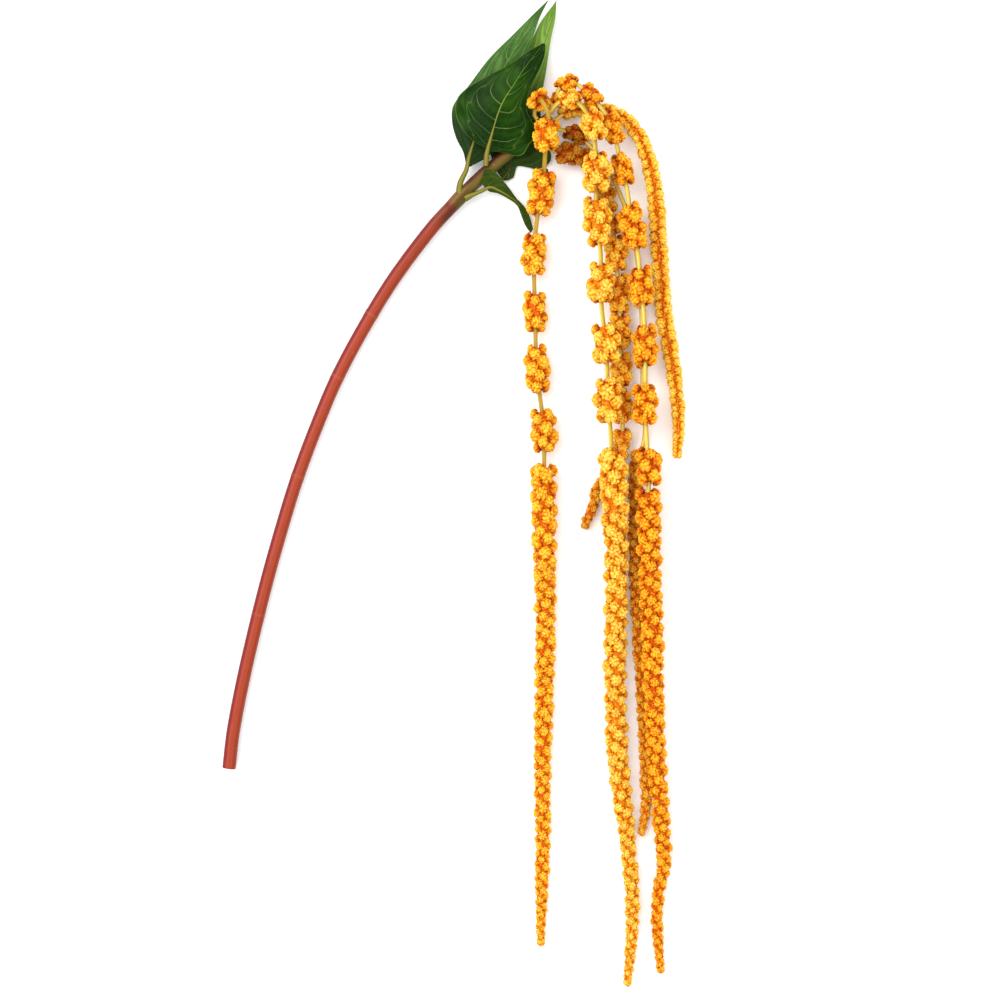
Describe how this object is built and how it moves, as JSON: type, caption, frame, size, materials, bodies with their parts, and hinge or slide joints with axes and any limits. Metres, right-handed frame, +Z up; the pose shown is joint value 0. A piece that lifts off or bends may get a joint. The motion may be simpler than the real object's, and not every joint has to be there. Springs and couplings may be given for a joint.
{
  "type": "amaranth seed head",
  "caption": "Cut hanging amaranth laid flat: a long bent red stem, pointed green leaves, and orange strands of beaded seed clusters that arch from the crown and taper to thin tails.",
  "frame": {"origin": "on the surface that the seed head lies on, under the middle of the whole outline", "axes": "+Z up from the surface, +Y along the head from the strands' tips towards the leaf tips, +X from the cut end of the stem towards the strands"},
  "size_m": [0.3237, 0.69, 0.0382],
  "materials": {
    "stem_skin": "fresh, smooth and slightly waxy stem skin, red turning olive towards the leaves",
    "leaf_dark": "waxy dark green leaf with paler looping veins",
    "leaf_bright": "waxy bright green leaf with paler veins",
    "seeds_orange": "matte, finely beaded orange florets on a yellow axis",
    "seeds_yellow": "matte, finely beaded yellow-orange florets on a yellow axis",
    "seeds_deep": "matte, finely beaded deep orange florets on a yellow axis",
    "seeds_shaded": "matte, finely beaded brownish orange florets on an olive axis"
  },
  "bodies": {
    "root": {"stem": "stem_skin", "leaf_front": "leaf_dark", "leaf_back_left": "leaf_dark", "leaf_back_right": "leaf_bright", "leaf_small": "leaf_dark", "strand_left": "seeds_orange", "strand_front": "seeds_yellow", "strand_right": "seeds_deep", "strand_under_front": "seeds_shaded", "strand_under_right": "seeds_shaded", "strand_outer": "seeds_deep"}
  },
  "joints": []
}
